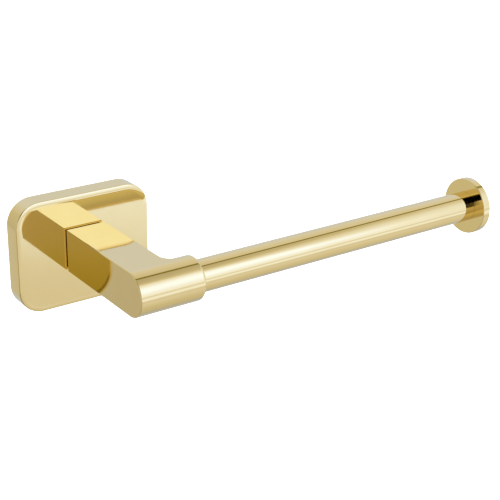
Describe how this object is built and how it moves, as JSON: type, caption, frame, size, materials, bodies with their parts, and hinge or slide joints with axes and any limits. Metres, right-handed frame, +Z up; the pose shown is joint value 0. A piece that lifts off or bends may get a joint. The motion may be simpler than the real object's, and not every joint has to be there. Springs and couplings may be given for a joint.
{
  "type": "toilet paper holder",
  "caption": "Wall-mounted single-arm toilet paper holder: hollow rounded wall plate, square arm, round collar and an open-ended roll bar with a stop disc.",
  "frame": {"origin": "middle of the wall bracket's back face, on the wall plane", "axes": "+X along the roll bar towards the stop disc, +Y into the wall, +Z up"},
  "size_m": [0.1868, 0.0901, 0.0446],
  "materials": {
    "polished_gold": "mirror-polished gold plating on cast zinc and brass tube",
    "zinc_steel": "bright zinc-plated steel",
    "raw_brass": "turned, unplated brass",
    "grey_nylon": "moulded nylon",
    "black_rubber": "thin matt gasket"
  },
  "bodies": {
    "bracket": {"wall_bracket": "zinc_steel", "wall_screw_left": "zinc_steel", "wall_screw_right": "zinc_steel", "wall_washer_left": "zinc_steel", "wall_washer_right": "zinc_steel", "wall_plug_left": "grey_nylon", "wall_plug_right": "grey_nylon"},
    "holder": {"rosette_cover": "polished_gold", "arm": "polished_gold", "bar_tube": "polished_gold", "end_disc": "polished_gold", "seat_gasket": "black_rubber", "bar_plug_near": "raw_brass", "bar_plug_far": "raw_brass", "disc_stud": "zinc_steel", "bar_set_screw": "zinc_steel", "arm_bolt": "zinc_steel", "arm_flat_washer": "zinc_steel", "arm_lock_washer": "zinc_steel", "arm_pin_lower": "zinc_steel", "arm_pin_upper": "zinc_steel"},
    "plate_set_screw": {"rosette_set_screw": "zinc_steel"}
  },
  "joints": [
    {"name": "lift_off", "type": "slide", "parent": "bracket", "child": "holder", "axis": [0, -1, 0], "range_m": [0, 0.03]},
    {"name": "set_screw_travel", "type": "slide", "parent": "holder", "child": "plate_set_screw", "axis": [0, 0, -1], "range_m": [0, 0.003]}
  ]
}
